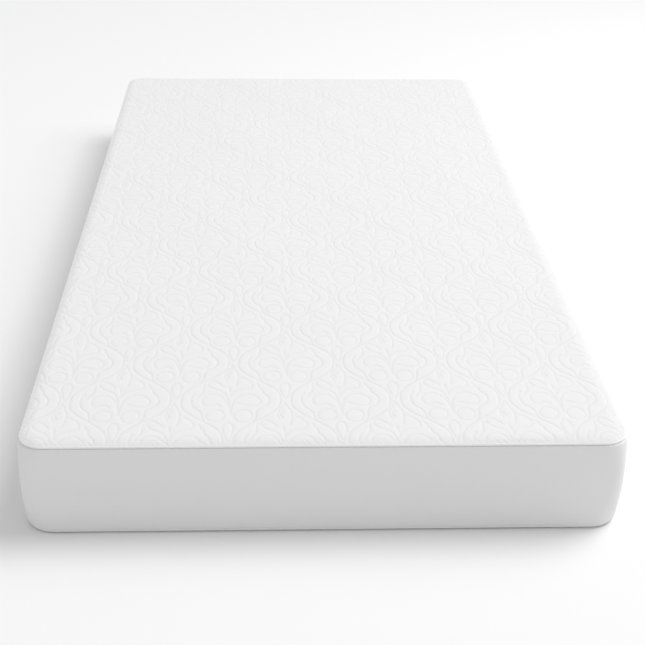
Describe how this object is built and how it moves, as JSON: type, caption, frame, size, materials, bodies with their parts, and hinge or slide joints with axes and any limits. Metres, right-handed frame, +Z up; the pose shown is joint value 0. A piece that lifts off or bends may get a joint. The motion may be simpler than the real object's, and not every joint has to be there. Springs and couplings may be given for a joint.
{
  "type": "memory foam mattress",
  "caption": "Rectangular foam mattress with a quilted top, piped edges, a plain border and a zip-off cover that closes at the head end.",
  "frame": {"origin": "bottom centre of the mattress, on the surface it lies on", "axes": "+Z up, +Y along the length to the head end with the zip, +X across, to the right of someone at the foot end who faces the head end"},
  "size_m": [1, 2, 0.174],
  "materials": {
    "quilt_knit": "matte",
    "border_knit": "matte",
    "base_knit": "matte",
    "bias_strip": "matte",
    "wadding": "matte",
    "non_woven": "matte",
    "laminate_foam": "matte",
    "sleeve_knit": "matte",
    "memory_foam": "matte",
    "support_foam": "matte",
    "zip_tape": "matte",
    "zip_nylon": "satin",
    "zip_metal": "satin",
    "label_satin": "satin"
  },
  "bodies": {
    "mattress": {"support_foam_core": "support_foam", "memory_foam_layer": "memory_foam", "inner_sleeve": "sleeve_knit", "top_panel_fabric": "quilt_knit", "top_panel_wadding": "wadding", "top_panel_backing": "non_woven", "top_piping_cover": "bias_strip", "top_piping_cord": "wadding", "bottom_piping_cover": "bias_strip", "bottom_piping_cord": "wadding", "border_fabric": "border_knit", "border_padding": "laminate_foam", "head_border_upper": "border_knit", "head_padding_upper": "laminate_foam", "head_border_lower": "border_knit", "head_padding_lower": "laminate_foam", "base_panel_fabric": "base_knit", "care_label": "label_satin", "zip_tape_upper": "zip_tape", "zip_tape_lower": "zip_tape", "zip_coil_upper": "zip_nylon", "zip_coil_lower": "zip_nylon", "zip_top_stop_upper": "zip_metal", "zip_top_stop_lower": "zip_metal", "zip_bottom_stop": "zip_metal", "zip_end_patch_closed": "zip_tape", "zip_end_patch_open": "zip_tape"},
    "slider": {"zip_slider": "zip_metal"},
    "pull": {"zip_pull": "zip_metal"}
  },
  "joints": [
    {"name": "zip_slide", "type": "slide", "parent": "mattress", "child": "slider", "axis": [1, 0, 0], "range_m": [0, 0.742]},
    {"name": "pull_hinge", "type": "hinge", "parent": "slider", "child": "pull", "pos_m": [-0.371, 0.99615, 0.045], "axis": [0, 0, 1], "range_deg": [0, 180]}
  ]
}
